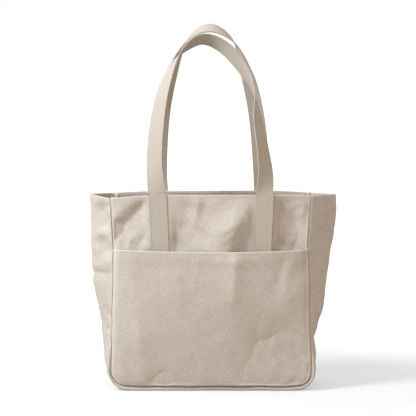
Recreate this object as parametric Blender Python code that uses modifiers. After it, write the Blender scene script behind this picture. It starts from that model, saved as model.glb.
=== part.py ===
"""Canvas tote bag with a boxed gusset, a front pocket and two webbing handles.

Metres, +Z up. The front faces -Y, and the origin is the middle of the base, on the ground.
Every sewn piece is a grid that is laid on the bag's surface and given its cloth thickness.
"""

import math

import bpy
import numpy as np

# The bag's body, measured over its outer faces.
PANEL_WIDTH = 0.371  # front panel, seam to seam
RIM_HEIGHT = 0.366
BASE_DEPTH = 0.132  # front seam to back seam at the base
RIM_DEPTH = 0.100  # the same at the rim, where the gussets fold outwards
BASE_CORNER_RADIUS = 0.026  # of the panels' bottom corners
SEAM_LIFT = 0.009  # height of the base seams above the ground
GUSSET_BULGE = 0.046  # how far each gusset folds out past its seams
GUSSET_FOLD_RADIUS = 0.12  # softness of that fold, as a share of the half depth
BULGE_FULL_HEIGHT = 0.215  # the fold has its full depth from here up
BASE_FLAT_SHARE = 0.75  # share of the base's depth that lies on the ground
PANEL_BELLY = 0.009  # how far a panel bows out between its seams, at mid height
RIM_BELLY = 0.005

# Cloth, webbing and tape.
CANVAS_THICKNESS = 0.0010
WEBBING_WIDTH = 0.032
WEBBING_THICKNESS = 0.0020
BINDING_WIDTH = 0.009
BINDING_THICKNESS = 0.0022
BINDING_TILT = math.radians(35)  # from the panel towards the inside of the bag

# The pocket and the handles.
POCKET_HEIGHT = 0.263  # of its mouth above the ground
POCKET_EASE = 0.0090  # how far its mouth stands off the front panel
STRAP_TUCK = 0.035  # length of the strap ends that the pocket covers
HANDLE_SPACING = 0.199  # between the middles of a handle's two ends, at the rim
STRAP_SPLAY = 0.045  # how far the ends draw together going down, per metre
FRONT_HANDLE_RISE = 0.288  # from the rim to the middle of the webbing at the top
BACK_HANDLE_RISE = 0.3095
HANDLE_TOP_OFFSET = 0.020  # of each handle's top from the bag's middle plane
HANDLE_LEAN_POWER = 1.4  # the handles leave the rim upright, then lean inwards

# Clearances.
LAYER_GAP = 0.0005  # between two sewn layers
SEAM_GAP = 0.0005  # between two cloth edges that meet at a seam
HINGE_GAP = 0.0003  # between a strap and the line that it folds about

# Each handle's run, from its left end over the top to its right end: the distance from the
# middle as a share of half the spacing, the height as a share of the rise, and the webbing's
# roll in degrees, from facing the panel's way to edge on at 90.
FRONT_HANDLE_RUN = (
    (-1.02, 0.00, 0),
    (-1.06, 0.20, 27),
    (-1.03, 0.40, 34),
    (-0.93, 0.62, 48),
    (-0.72, 0.83, 73),
    (-0.47, 0.945, 107),
    (-0.14, 1.00, 127),
    (0.24, 0.945, 135),
    (0.59, 0.81, 128),
    (0.79, 0.67, 98),
    (0.86, 0.50, 62),
    (0.95, 0.31, 49),
    (1.01, 0.14, 32),
    (0.985, 0.00, 0),
)
BACK_HANDLE_RUN = (
    (-0.99, 0.00, 0),
    (-1.01, 0.13, 15),
    (-0.955, 0.43, 25),
    (-0.80, 0.68, 45),
    (-0.48, 0.915, 90),
    (-0.03, 1.00, 118),
    (0.43, 0.915, 92),
    (0.67, 0.725, 50),
    (0.795, 0.583, 36),
    (0.895, 0.395, 25),
    (0.965, 0.13, 15),
    (0.985, 0.00, 0),
)

HALF_WIDTH = PANEL_WIDTH / 2
STRAP_LOW = POCKET_HEIGHT - STRAP_TUCK
CANVAS = ("canvas", (0.56, 0.49, 0.42, 1), 0.92)
WEBBING = ("webbing", (0.55, 0.49, 0.41, 1), 0.85)
TAPE = ("tape", (0.60, 0.54, 0.46, 1), 0.90)


def smoothstep(value):
    """0 below 0, 1 above 1, and a smooth rise between."""
    value = min(max(value, 0.0), 1.0)
    return value * value * (3 - 2 * value)


def mix(low, high, share):
    return low + (high - low) * share


def half_depth(z):
    """Distance of the front and back seams from the middle plane."""
    share = (z - SEAM_LIFT) / (RIM_HEIGHT - SEAM_LIFT)
    return mix(BASE_DEPTH, RIM_DEPTH, share) / 2


def half_width(z, inset=0.0):
    """Half the width of a panel at a height, inside its rounded bottom corners."""
    radius = BASE_CORNER_RADIUS - inset
    below = max(SEAM_LIFT + BASE_CORNER_RADIUS - z, 0.0)
    corner = math.sqrt(max(radius**2 - below**2, 0.0))
    return HALF_WIDTH - BASE_CORNER_RADIUS + corner


def belly(z):
    """How far the middle of a panel bows out past its seams."""
    share = (z - SEAM_LIFT) / (RIM_HEIGHT - SEAM_LIFT)
    return mix(0.002, RIM_BELLY, share) + (PANEL_BELLY - RIM_BELLY / 2) * math.sin(math.pi * share)


def panel_face(x, z):
    """Distance of a panel's outer face from the middle plane."""
    return half_depth(z) + belly(z) * (1 - min(abs(x) / HALF_WIDTH, 1.0) ** 2)


def pocket_stand_off(x, z):
    """Space between the front panel and the pocket."""
    across = 1 - min(abs(x) / HALF_WIDTH, 1.0) ** 4
    up = smoothstep((z - SEAM_LIFT) / (0.45 * POCKET_HEIGHT))
    return LAYER_GAP + POCKET_EASE * across * up


def seam_path(distance):
    """A point (x, z) on the seam and its outward direction, going right from the base's middle."""
    straight = HALF_WIDTH - BASE_CORNER_RADIUS
    arc = BASE_CORNER_RADIUS * math.pi / 2
    if distance <= straight:
        return distance, SEAM_LIFT, 0.0, -1.0
    if distance >= straight + arc:
        return HALF_WIDTH, SEAM_LIFT + BASE_CORNER_RADIUS + distance - straight - arc, 1.0, 0.0
    angle = (distance - straight) / BASE_CORNER_RADIUS
    out_x, out_z = math.sin(angle), -math.cos(angle)
    centre_z = SEAM_LIFT + BASE_CORNER_RADIUS
    return straight + BASE_CORNER_RADIUS * out_x, centre_z + BASE_CORNER_RADIUS * out_z, out_x, out_z


def seam_knots():
    """Distances along the seam at the base's middle, the corner's two ends and the rim."""
    straight = HALF_WIDTH - BASE_CORNER_RADIUS
    corner_end = straight + BASE_CORNER_RADIUS * math.pi / 2
    return 0.0, straight, corner_end, corner_end + RIM_HEIGHT - SEAM_LIFT - BASE_CORNER_RADIUS


def seam_distance(share):
    """Distance for a share of the path from -1 (left rim) to 1 (right rim), finer in the corners."""
    return math.copysign(np.interp(abs(share), (0.0, 0.15, 0.4, 1.0), seam_knots()), share)


def gusset_point(u, v):
    """A point on the gusset's outer face: u runs front to back, v from the left rim to the right."""
    distance = seam_distance(v)
    x, z, out_x, out_z = seam_path(abs(distance))
    side = smoothstep((z - SEAM_LIFT) / (0.25 * RIM_HEIGHT))
    bulge = mix(SEAM_LIFT, GUSSET_BULGE, smoothstep((z - SEAM_LIFT) / BULGE_FULL_HEIGHT))
    soft = GUSSET_FOLD_RADIUS
    fold = 1 - (math.hypot(u, soft) - soft) / (math.hypot(1, soft) - soft)
    lip = smoothstep((1 - abs(u)) / (1 - BASE_FLAT_SHARE))
    out = bulge * mix(lip, fold, side)
    x, z = x + out_x * out, z + out_z * out
    return math.copysign(x, v), half_depth(max(z, SEAM_LIFT)) * u, z


def panel_point(side, low, high, face, inset):
    """The mapping of a panel-like piece between two heights. side is -1 in front, 1 behind."""

    def place(u, v):
        share = (v + 1) / 2
        z = mix(low, high, share**1.5)
        x = u * half_width(z, inset)
        return -side * x, side * face(x, z), z

    return place


def strap_end_point(side, left_or_right):
    """The mapping of a sewn strap end, which lies on the outer face of its panel."""

    def place(u, v):
        z = mix(STRAP_LOW, RIM_HEIGHT, (v + 1) / 2)
        middle = HANDLE_SPACING / 2 - STRAP_SPLAY * (RIM_HEIGHT - z)
        x = left_or_right * middle - side * u * WEBBING_WIDTH / 2
        return x, side * (panel_face(x, z) + LAYER_GAP + WEBBING_THICKNESS), z

    return place


def binding_point(side):
    """The mapping of a binding tape, which covers the seam's edges inside the bag."""
    start = CANVAS_THICKNESS + BINDING_THICKNESS / 2 + SEAM_GAP

    def place(u, v):
        distance = seam_distance(v)
        x, z, out_x, out_z = seam_path(abs(distance))
        across = BINDING_WIDTH * (u + 1) / 2
        inwards = start + across * math.cos(BINDING_TILT)
        y = half_depth(z) - start - across * math.sin(BINDING_TILT)
        return math.copysign(x - out_x * inwards, v), side * y, z - out_z * inwards

    return place


def smooth_run(run, steps):
    """Rows of a run at even steps, on a Catmull-Rom curve through its points."""
    points = np.array(run, dtype=float)
    points = np.vstack([points[0], points, points[-1]])
    rows = []
    for step in np.linspace(0, len(run) - 1, steps + 1):
        i = min(int(step), len(run) - 2)
        t = step - i
        a, b, c, d = points[i : i + 4]
        rows.append(
            0.5 * (2 * b + (c - a) * t + (2 * a - 5 * b + 4 * c - d) * t**2)
            + 0.5 * (3 * b - a - 3 * c + d) * t**3
        )
    return np.array(rows)


def handle_root():
    """Distance of the webbing's outer face from the middle plane, where it leaves the rim."""
    return panel_face(HANDLE_SPACING / 2, RIM_HEIGHT) + LAYER_GAP + WEBBING_THICKNESS


def handle_loop(name, side, run, rise, steps=60):
    """The free loop of one handle: a flat ribbon swept along its run with its roll."""
    rows = smooth_run(run, steps)
    root = handle_root() - WEBBING_THICKNESS / 2
    lean = (root - HANDLE_TOP_OFFSET) * np.clip(rows[:, 1], 0, 1) ** HANDLE_LEAN_POWER
    foot = RIM_HEIGHT + 2 * HINGE_GAP
    middle = np.column_stack(
        [rows[:, 0] * HANDLE_SPACING / 2, side * (root - lean), foot + rows[:, 1] * rise]
    )
    along = np.gradient(middle, axis=0)
    along[0], along[-1] = (0, 0, 1), (0, 0, -1)
    along /= np.linalg.norm(along, axis=1)[:, None]
    outward = np.array([0.0, side, 0.0])
    inside = np.cross(along, [0.0, 1.0, 0.0])
    inside /= -np.linalg.norm(inside, axis=1)[:, None]
    roll = np.radians(rows[:, 2])[:, None]
    width = np.cos(roll) * inside + np.sin(roll) * outward
    width -= along * np.sum(width * along, axis=1)[:, None]
    width *= WEBBING_WIDTH / 2 / np.linalg.norm(width, axis=1)[:, None]

    def place(u, v):
        row = round((v + 1) / 2 * steps)
        return middle[row] + u * width[row]

    return sewn_piece(name, 1, steps, place, WEBBING_THICKNESS, WEBBING, offset=0.0)


def material(kind):
    """The plain material of one kind of cloth, made once."""
    name, colour, roughness = kind
    if name in bpy.data.materials:
        return bpy.data.materials[name]
    made = bpy.data.materials.new(name)
    made.use_nodes = True
    shader = made.node_tree.nodes["Principled BSDF"]
    shader.inputs["Base Color"].default_value = colour
    shader.inputs["Roughness"].default_value = roughness
    return made


def sewn_piece(name, columns, rows, place, thickness, kind, offset=-1.0):
    """One piece of cloth: a grid laid out by place(u, v), u and v from -1 to 1, and thickened."""
    bpy.ops.mesh.primitive_grid_add(x_subdivisions=columns, y_subdivisions=rows, size=2)
    piece = bpy.context.object
    piece.name = piece.data.name = name
    for vertex in piece.data.vertices:
        vertex.co = place(vertex.co.x, vertex.co.y)
    piece.data.materials.append(material(kind))
    piece.data.shade_smooth()
    cloth = piece.modifiers.new("thickness", "SOLIDIFY")
    cloth.thickness = thickness
    cloth.offset = offset
    cloth.use_even_offset = True
    for collection in piece.users_collection:
        collection.objects.unlink(piece)
    bpy.data.collections["canvas_tote_bag"].objects.link(piece)
    return piece


def make_panels():
    """The front and back panels, inside the gusset's seams."""
    inset = CANVAS_THICKNESS + SEAM_GAP
    low = SEAM_LIFT + inset
    for name, side in (("front_panel", -1), ("back_panel", 1)):
        place = panel_point(side, low, RIM_HEIGHT, panel_face, inset)
        sewn_piece(name, 16, 22, place, CANVAS_THICKNESS, CANVAS)


def make_pocket():
    """The pocket, sewn over the front panel along its sides and base."""
    inset = CANVAS_THICKNESS + SEAM_GAP

    def face(x, z):
        return panel_face(x, z) + pocket_stand_off(x, z) + CANVAS_THICKNESS

    place = panel_point(-1, SEAM_LIFT + inset, POCKET_HEIGHT, face, inset)
    sewn_piece("front_pocket", 16, 16, place, CANVAS_THICKNESS, CANVAS)


def make_gusset():
    """One strip of canvas: up the left side, under the base and up the right side."""
    sewn_piece("gusset", 12, 48, gusset_point, CANVAS_THICKNESS, CANVAS)


def make_bindings():
    for name, side in (("front_seam_binding", -1), ("back_seam_binding", 1)):
        sewn_piece(name, 1, 48, binding_point(side), BINDING_THICKNESS, TAPE, offset=0.0)


def make_handles():
    """Two lengths of webbing. Each is a free loop between two ends sewn to its panel."""
    handles = (
        ("front_handle", -1, FRONT_HANDLE_RUN, FRONT_HANDLE_RISE),
        ("back_handle", 1, BACK_HANDLE_RUN, BACK_HANDLE_RISE),
    )
    for name, side, run, rise in handles:
        for word, left_or_right in (("left", -1), ("right", 1)):
            place = strap_end_point(side, left_or_right)
            sewn_piece(f"{name}_{word}_end", 2, 10, place, WEBBING_THICKNESS, WEBBING)
        loop = handle_loop(f"{name}_loop", side, run, rise)
        hinge = bpy.data.objects.new(f"{name}_hinge", None)
        hinge.location = (0, side * (handle_root() + HINGE_GAP), RIM_HEIGHT + HINGE_GAP)
        bpy.data.collections["canvas_tote_bag"].objects.link(hinge)
        bpy.context.view_layer.update()
        loop.parent = hinge
        loop.matrix_parent_inverse = hinge.matrix_world.inverted()


def main():
    for obj in list(bpy.data.objects):
        bpy.data.objects.remove(obj, do_unlink=True)
    bag = bpy.data.collections.new("canvas_tote_bag")
    bpy.context.scene.collection.children.link(bag)
    make_panels()
    make_gusset()
    make_pocket()
    make_bindings()
    make_handles()


main()
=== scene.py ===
"""Canvas tote bag: the cloth, webbing, tape and thread that show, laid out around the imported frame."""

import logging
import math
from dataclasses import dataclass, field
from enum import Enum
from typing import Callable, Iterable

import bpy
import numpy as np
from mathutils import Matrix, Vector

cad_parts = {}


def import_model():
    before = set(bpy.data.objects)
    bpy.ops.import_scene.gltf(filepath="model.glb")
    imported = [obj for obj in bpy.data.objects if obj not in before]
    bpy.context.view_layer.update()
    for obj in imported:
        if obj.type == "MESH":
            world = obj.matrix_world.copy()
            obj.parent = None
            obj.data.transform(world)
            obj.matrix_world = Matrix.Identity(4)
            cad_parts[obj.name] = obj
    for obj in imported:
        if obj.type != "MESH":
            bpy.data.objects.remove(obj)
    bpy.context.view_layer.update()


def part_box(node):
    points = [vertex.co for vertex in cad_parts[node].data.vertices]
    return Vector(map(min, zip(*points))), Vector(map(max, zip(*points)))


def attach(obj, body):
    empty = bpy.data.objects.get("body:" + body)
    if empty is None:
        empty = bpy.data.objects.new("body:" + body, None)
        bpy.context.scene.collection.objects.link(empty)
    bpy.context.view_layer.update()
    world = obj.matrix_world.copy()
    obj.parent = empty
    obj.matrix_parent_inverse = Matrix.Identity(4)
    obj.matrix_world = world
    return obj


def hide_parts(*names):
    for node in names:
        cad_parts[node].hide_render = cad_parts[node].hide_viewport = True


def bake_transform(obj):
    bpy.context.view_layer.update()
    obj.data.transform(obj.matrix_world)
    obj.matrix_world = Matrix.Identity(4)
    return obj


LOG = logging.getLogger("tote")
BAG = "bag"
ROW_CLEAR = 0.004  # from a seam to the first stitch of a row
ROW_STEP = 0.0009  # between the points of a row
HELD = 0.3  # the share of its relief that cloth keeps where a hem holds it

Array = np.ndarray
Colour = tuple[float, float, float, float]
Place = Callable[[Array, Array], Array]
Table = tuple[tuple[float, float], ...]
Piece = bpy.types.Object
Material = bpy.types.Material
Row = tuple[Array, Array]  # points, and the ways outwards from the cloth there


class Side(Enum):
    """The two long sides of the bag, by the sign of Y."""

    FRONT = -1
    BACK = 1


class Hand(Enum):
    """The two short sides of the bag, by the sign of X."""

    LEFT = -1
    RIGHT = 1


class Held(Enum):
    STRETCHED = "stretched"
    HUNG = "hung"
    FOLDED = "folded"


class Slot(Enum):
    """The record's material slots."""

    CANVAS = "canvas"
    WEBBING = "webbing"
    TAPE = "binding_tape"


# --- sums on arrays


def smoothstep(value: Array) -> Array:
    """Give 0 below 0, 1 above 1 and a smooth rise between."""
    value = np.clip(value, 0.0, 1.0)
    return value * value * (3 - 2 * value)


def mix(low: Array, high: Array, share: Array) -> Array:
    """Blend from low to high."""
    return low + (high - low) * share


def eased(at: Array, table: Table, window: float) -> Array:
    """Read a table of (place, value) pairs with its corners rounded.

    Args:
        at: The places to read it at.
        table: Pairs in rising order of place.
        window: How far each side of a corner the rounding reaches.

    Returns:
        The value at each place.
    """
    places, values = np.array(table).T
    shifts = np.linspace(-window, window, 7)
    return sum(np.interp(at + shift, places, values) for shift in shifts) / len(shifts)


def turned_in(edge: Array, reach: float, depth: float) -> Array:
    """Give how deep cloth has turned in by its seam, on a quarter ellipse that starts at the reach."""
    share = np.clip(1 - edge / reach, 0.0, 1.0)
    return depth * (1 - np.sqrt(1 - share**2))


def stations(*runs: tuple[float, float, float]) -> Array:
    """Space out places along some joined runs.

    Args:
        *runs: Each run's start, end and about how far apart its places are.

    Returns:
        The places in rising order, without repeats.
    """
    parts = [np.linspace(low, high, max(2, round((high - low) / step) + 1)) for low, high, step in runs]
    places = np.concatenate(parts)
    return places[np.concatenate([[True], np.diff(places) > 1e-6])]


def seam_to_seam(half: float, fine: float, fine_step: float, step: float) -> Array:
    """Space out places across a cloth, by the finer step over a fine stretch along both seams."""
    inner = half - fine
    return stations((-half, -inner, fine_step), (-inner, inner, step), (inner, half, fine_step))


def straight_out(side: Side, count: int) -> Array:
    """Give the way out from a long side, once for each point."""
    return np.tile([0.0, side.value, 0.0], (count, 1))


def row_places(half: float) -> Array:
    """Give close places across a cloth for a row of stitches, clear of its seams."""
    return np.arange(-half + ROW_CLEAR, half - ROW_CLEAR, ROW_STEP)


def unit(vectors: Array) -> Array:
    """Scale each row to a length of 1."""
    return vectors / np.linalg.norm(vectors, axis=1)[:, None]


def lengths_along(points: Array) -> Array:
    """Give how far along its line each point is."""
    return np.concatenate([[0], np.cumsum(np.linalg.norm(np.diff(points, axis=0), axis=1))])


def bell(far: Array, reach: float) -> Array:
    """Give 1 at no distance, falling to almost 0 two reaches away."""
    return np.exp(-((far / reach) ** 2))


# --- relief of the cloth


@dataclass(frozen=True)
class Fold:
    """A fold along a line on the cloth, which stands out, or in where its height is negative."""

    start: tuple[float, float]
    end: tuple[float, float]
    height: float
    left: float
    right: float
    fade: float = 0.3  # the share of its line over which it dies away at each end
    soft: float = 0.0015  # how rounded its ridge is
    power: float = 1.4

    def at(self, x: Array, z: Array) -> Array:
        """Give the fold's height at points on the cloth.

        Args:
            x: Places across.
            z: Places along.

        Returns:
            The height at each point. It falls off over the widths left and right of the line's way.
        """
        run_x, run_z = self.end[0] - self.start[0], self.end[1] - self.start[1]
        length = math.hypot(run_x, run_z)
        share = ((x - self.start[0]) * run_x + (z - self.start[1]) * run_z) / length**2
        off = ((z - self.start[1]) * run_x - (x - self.start[0]) * run_z) / length
        width = np.where(off > 0, self.left, self.right)
        rising = smoothstep((share + self.fade / 2) / self.fade)
        falling = smoothstep((1 + self.fade / 2 - share) / self.fade)
        far = np.hypot(off, self.soft) - self.soft
        return self.height * (rising * falling) * np.exp(-((far / width) ** self.power))


def stand_out(folds: Iterable[Fold], x: Array, z: Array) -> Array:
    """Add up the heights of several folds."""
    return sum((fold.at(x, z) for fold in folds), np.zeros_like(x))


@dataclass(frozen=True)
class Crumple:
    """The fine, irregular relief of handled canvas: smooth swells with a few creases."""

    seed: int
    height: float
    size: float
    lattice: int = 97
    most_layers: int = 31
    first_turn: float = 0.6
    shift: float = 1000.0  # keeps every cell's number above zero

    def layer(self, x: Array, z: Array, size: float, order: int) -> Array:
        """Give one layer of smooth noise.

        Args:
            x: Places across.
            z: Places along.
            size: About how wide a bump is.
            order: Which layer, so that no two are alike.

        Returns:
            Values from -1 to 1.
        """
        count = self.lattice
        table = np.random.default_rng(self.seed * self.most_layers + order).uniform(-1, 1, (count, count))
        turn = self.first_turn + order
        across = (x * math.cos(turn) + z * math.sin(turn)) / size + self.shift
        along = (z * math.cos(turn) - x * math.sin(turn)) / size + self.shift
        col, row = np.floor(across).astype(int), np.floor(along).astype(int)
        share = smoothstep(across - col)
        col, row, next_col, next_row = col % count, row % count, (col + 1) % count, (row + 1) % count
        low = mix(table[row, col], table[row, next_col], share)
        high = mix(table[next_row, col], table[next_row, next_col], share)
        return mix(low, high, smoothstep(along - np.floor(along)))

    def at(self, x: Array, z: Array) -> Array:
        """Give the height of the relief at points on the cloth.

        Args:
            x: Places across.
            z: Places along.

        Returns:
            The height at each point: swells, creases and small bumps on slightly bent places.
        """
        warp = 0.35 * self.size
        bent_x = x + warp * self.layer(x, z, self.size * 1.3, 7)
        bent_z = z + warp * self.layer(x, z, self.size * 1.3, 8)
        swell = self.layer(bent_x, bent_z, self.size, 1)
        crease = 0.5 - np.abs(self.layer(bent_x, bent_z, self.size * 0.9, 2))
        small = self.layer(bent_x, bent_z, self.size * 0.35, 3)
        return self.height * (0.55 * swell + 0.45 * crease + 0.2 * small)


# --- the bag's form


@dataclass(frozen=True)
class HandShape:
    """One short side of the bag, as tables over the height."""

    corner: float
    seam: Table  # distance of the seams from the middle
    bulge: Table  # how far the gusset folds out past its seams
    rim: Table  # how low the rim hangs, from the front seam (-1) to the back seam (1)


SHAPES = {
    Hand.LEFT: HandShape(
        corner=0.029,
        seam=(
            *((0.050, 0.1875), (0.150, 0.1850), (0.263, 0.1823)),
            *((0.304, 0.1847), (0.350, 0.1876), (0.366, 0.1903)),
        ),
        bulge=(
            *((0.010, 0.0078), (0.025, 0.0060), (0.054, 0.0146), (0.082, 0.0186), (0.111, 0.0222)),
            *((0.119, 0.0214), (0.144, 0.0270), (0.172, 0.0346), (0.213, 0.0440), (0.283, 0.0448)),
            (0.366, 0.0400),
        ),
        rim=((-1.0, 0.0068), (0.0, 0.0012), (1.0, 0.0030)),
    ),
    Hand.RIGHT: HandShape(
        corner=0.025,
        seam=(
            *((0.050, 0.1863), (0.105, 0.1843), (0.151, 0.1829)),
            *((0.282, 0.1812), (0.332, 0.1849), (0.366, 0.1868)),
        ),
        bulge=(
            *((0.010, 0.0084), (0.016, 0.0068), (0.028, 0.0092), (0.064, 0.0134), (0.092, 0.0123)),
            *((0.124, 0.0200), (0.143, 0.0277), (0.200, 0.0366), (0.284, 0.0492), (0.313, 0.0517)),
            (0.366, 0.0482),
        ),
        rim=((-1.0, 0.0012), (0.0, 0.0022), (1.0, 0.0018)),
    ),
}
RIMS = {  # how low the rim hangs, over the places across
    Side.FRONT: (
        *((-0.190, 0.0068), (-0.144, 0.0027), (-0.120, 0.0013)),
        *((-0.077, 0), (0.146, 0), (0.187, 0.0012)),
    ),
    Side.BACK: ((-0.190, 0.0030), (-0.156, 0.0010), (-0.117, 0), (0.120, -0.0008), (0.187, 0.0018)),
}


@dataclass(frozen=True)
class BagForm:
    """The smooth surfaces that every sewn piece lies on.

    Its methods take places across as x and heights as z, and give one value for each point.
    """

    rim: float
    half_base: float
    half_rim: float = 0.050
    seam_lift: float = 0.009
    foot_bow: float = 0.003
    rim_bow: float = 0.008
    panel_bow: float = 0.004
    crest: float = 0.035
    fold_softness: float = 0.10
    strap_spacing: float = 0.199
    strap_splay: float = 0.045
    strap_width: float = 0.032
    seam_wander: float = 0.0011
    wander_size: float = 0.022
    wander_reach: float = 0.018
    wander_top: float = 0.05  # how far below the rim it is full
    wander_apart: float = 0.7  # between the two sides' places in the noise
    rounding: float = 0.012  # of the corners in the tables of its outline

    @classmethod
    def from_frame(cls) -> "BagForm":
        """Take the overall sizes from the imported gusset."""
        low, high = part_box("gusset")
        return cls(rim=high.z, half_base=(high.y - low.y) / 2)

    def share(self, z: Array) -> Array:
        """Give the height as a share of the way from the base seams to the rim."""
        return (z - self.seam_lift) / (self.rim - self.seam_lift)

    def half_depth(self, z: Array) -> Array:
        """Give the distance of the front and back seams from the middle plane."""
        return mix(self.half_base, self.half_rim, self.share(z))

    def by_hand(self, x: Array, read: Callable[[HandShape], Array]) -> Array:
        """Read a measure of the short side that each point is nearest to."""
        return np.where(x < 0, read(SHAPES[Hand.LEFT]), read(SHAPES[Hand.RIGHT]))

    def corner(self, x: Array) -> Array:
        """Give the radius of the nearer bottom corner."""
        return self.by_hand(x, lambda shape: shape.corner)

    def foot(self, x: Array) -> Array:
        """Give the distance of the nearer side seam from the middle, low down."""
        return self.by_hand(x, lambda shape: shape.seam[0][1])

    def seam(self, x: Array, z: Array) -> Array:
        """Give the distance of the nearer side seam from the middle, bottom corners left out."""
        return self.by_hand(x, lambda shape: eased(z, shape.seam, self.rounding))

    def outline(self, x: Array, z: Array) -> Array:
        """Give the distance of the nearer side seam from the middle, bottom corners included."""
        radius = self.corner(x)
        below = np.clip(self.seam_lift + radius - z, 0.0, radius)
        return self.seam(x, z) - radius + np.sqrt(radius**2 - below**2)

    def edge(self, x: Array, z: Array) -> Array:
        """Give how far points of a long side are from its sewn outline."""
        radius = self.corner(x)
        side, base = self.seam(x, z) - np.abs(x), z - self.seam_lift
        rounded = radius - np.hypot(np.clip(radius - side, 0, None), np.clip(radius - base, 0, None))
        inner = np.minimum(side, base)
        return np.clip(np.where((side < radius) & (base < radius), rounded, inner), 0, None)

    def face(self, x: Array, z: Array) -> Array:
        """Give the distance of a smooth panel's outer face from the middle plane."""
        share = self.share(z)
        bow = mix(self.foot_bow, self.rim_bow, share)
        bow = bow + self.panel_bow * np.sin(math.pi * np.clip(share, 0, 1))
        half = self.seam(x, z) - np.sign(x - self.crest) * self.crest
        return self.half_depth(z) + bow * (1 - np.clip(np.abs(x - self.crest) / half, 0, 1) ** 2)

    def rim_of(self, side: Side, x: Array) -> Array:
        """Give the height of the rim along a long side."""
        return self.rim - eased(x, RIMS[side], self.rounding)

    def strap_middle(self, hand: Hand, z: Array) -> Array:
        """Give where the middle of a sewn strap end runs."""
        return hand.value * (self.strap_spacing / 2 - self.strap_splay * (self.rim - z))

    def strap_cover(self, x: Array, z: Array, margin: float) -> Array:
        """Give 1 under the sewn straps, falling to 0 a margin past their edges."""
        past = [np.abs(x - self.strap_middle(hand, z)) - self.strap_width / 2 for hand in Hand]
        return 1 - smoothstep(np.minimum(*past) / margin)

    def wander(self, side: Array, x: Array, z: Array, edge: Array) -> tuple[Array, Array]:
        """Give how far the sewing strays from its smooth line, the same for all cloth in a seam.

        Args:
            side: The sign of Y.
            x: Places across.
            z: Heights.
            edge: Distances from the seam, over which the stray fades.

        Returns:
            The shifts in X and in Z.
        """
        below_rim = smoothstep((self.rim - z) / self.wander_top)
        amount = self.seam_wander * np.exp(-edge / self.wander_reach) * below_rim
        stray = Crumple(seed=5, height=1.0, size=self.wander_size)
        apart = x + self.wander_apart * side
        shift_x, shift_z = (amount * stray.layer(apart, z, self.wander_size, order) for order in (1, 2))
        return shift_x, shift_z

    def corner_path(self, side: Array, far: Array) -> tuple[Array, Array, Array, Array]:
        """Follow the sewing line from the middle of the base out to a bottom corner and round it.

        Args:
            side: The sign of X.
            far: Distances along the line from the middle of the base.

        Returns:
            The angle turned, the distance out, the height, and how far past the corner it is.
        """
        radius = self.corner(side)
        base = self.foot(side) - radius
        angle = np.clip((far - base) / radius, 0, math.pi / 2)
        out = np.minimum(far, base) + radius * np.sin(angle)
        return angle, out, self.seam_lift + radius * (1 - np.cos(angle)), far - base - radius * math.pi / 2


# --- laying out and finishing cloth


def only(piece: Piece) -> None:
    """Select one object and nothing else, and make it active."""
    bpy.ops.object.select_all(action="DESELECT")
    piece.select_set(True)
    bpy.context.view_layer.objects.active = piece


def just_added() -> Piece:
    """Give the object that an operator has just added."""
    return bpy.context.view_layer.objects.active


def laid_cloth(name: str, across: Array, along: Array, place: Place) -> Piece:
    """Lay out a grid of cloth.

    Args:
        name: The piece's name.
        across: The flat places of its columns, in metres.
        along: The flat places of its rows, in metres.
        place: Gives the points in space for flat places across and along.

    Returns:
        The piece, with its flat places as its UV map.
    """
    bpy.ops.object.select_all(action="DESELECT")
    columns, rows = len(across) - 1, len(along) - 1
    bpy.ops.mesh.primitive_grid_add(x_subdivisions=columns, y_subdivisions=rows, size=2)
    piece = just_added()
    piece.name = piece.data.name = name
    mesh = piece.data
    grid = points_of(piece)
    column = np.rint((grid[:, 0] + 1) / 2 * columns).astype(int)
    row = np.rint((grid[:, 1] + 1) / 2 * rows).astype(int)
    flat = np.column_stack([across[column], along[row]])
    move_to(piece, place(flat[:, 0], flat[:, 1]))
    corners = read(mesh.loops, "vertex_index", kind=np.int32)
    mesh.uv_layers.active.name = "cloth"
    mesh.uv_layers.active.data.foreach_set("uv", flat[corners].astype(np.float32).ravel())
    mesh.shade_smooth()
    return piece


def read(items: Iterable[object], name: str, size: int = 1, kind: type = np.float32) -> Array:
    """Read one property of all of a mesh's items.

    Args:
        items: The items, such as its vertices.
        name: The property.
        size: How many numbers each item has.
        kind: The numbers' type.

    Returns:
        The numbers in one row.
    """
    values = np.empty(len(items) * size, kind)
    items.foreach_get(name, values)
    return values


def points_of(piece: Piece) -> Array:
    """Give a piece's vertices as rows of x, y, z."""
    return read(piece.data.vertices, "co", 3).reshape(-1, 3).astype(float)


def move_to(piece: Piece, points: Array) -> None:
    """Put a piece's vertices at the given rows of x, y, z."""
    piece.data.vertices.foreach_set("co", points.astype(np.float32).ravel())
    piece.data.update()


def apply(piece: Piece, kind: str, **settings: object) -> None:
    """Add a modifier and apply it.

    Args:
        piece: The piece.
        kind: The modifier's type.
        **settings: Its settings.
    """
    only(piece)
    added = piece.modifiers.new(kind.lower(), kind)
    for key, value in settings.items():
        setattr(added, key, value)
    bpy.ops.object.modifier_apply(modifier=added.name)


def mark(piece: Piece, name: str, values: Array) -> None:
    """Store one number for each vertex."""
    attribute = piece.data.attributes.new(name, "FLOAT", "POINT")
    attribute.data.foreach_set("value", np.broadcast_to(values, len(piece.data.vertices)).astype(np.float32))


def finish_piece(
    piece: Piece, finish: Material, replaced: Iterable[str] = ()
) -> None:
    """Dress a piece and hide the CAD nodes that it stands for.

    Args:
        piece: The piece, its mesh final.
        finish: Its material.
        replaced: The CAD nodes that it stands for.
    """
    piece.data.materials.clear()
    piece.data.materials.append(finish)
    if replaced:
        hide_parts(*replaced)
    LOG.info("%s: %d faces", piece.name, len(piece.data.polygons))


# --- shader maths


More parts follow.
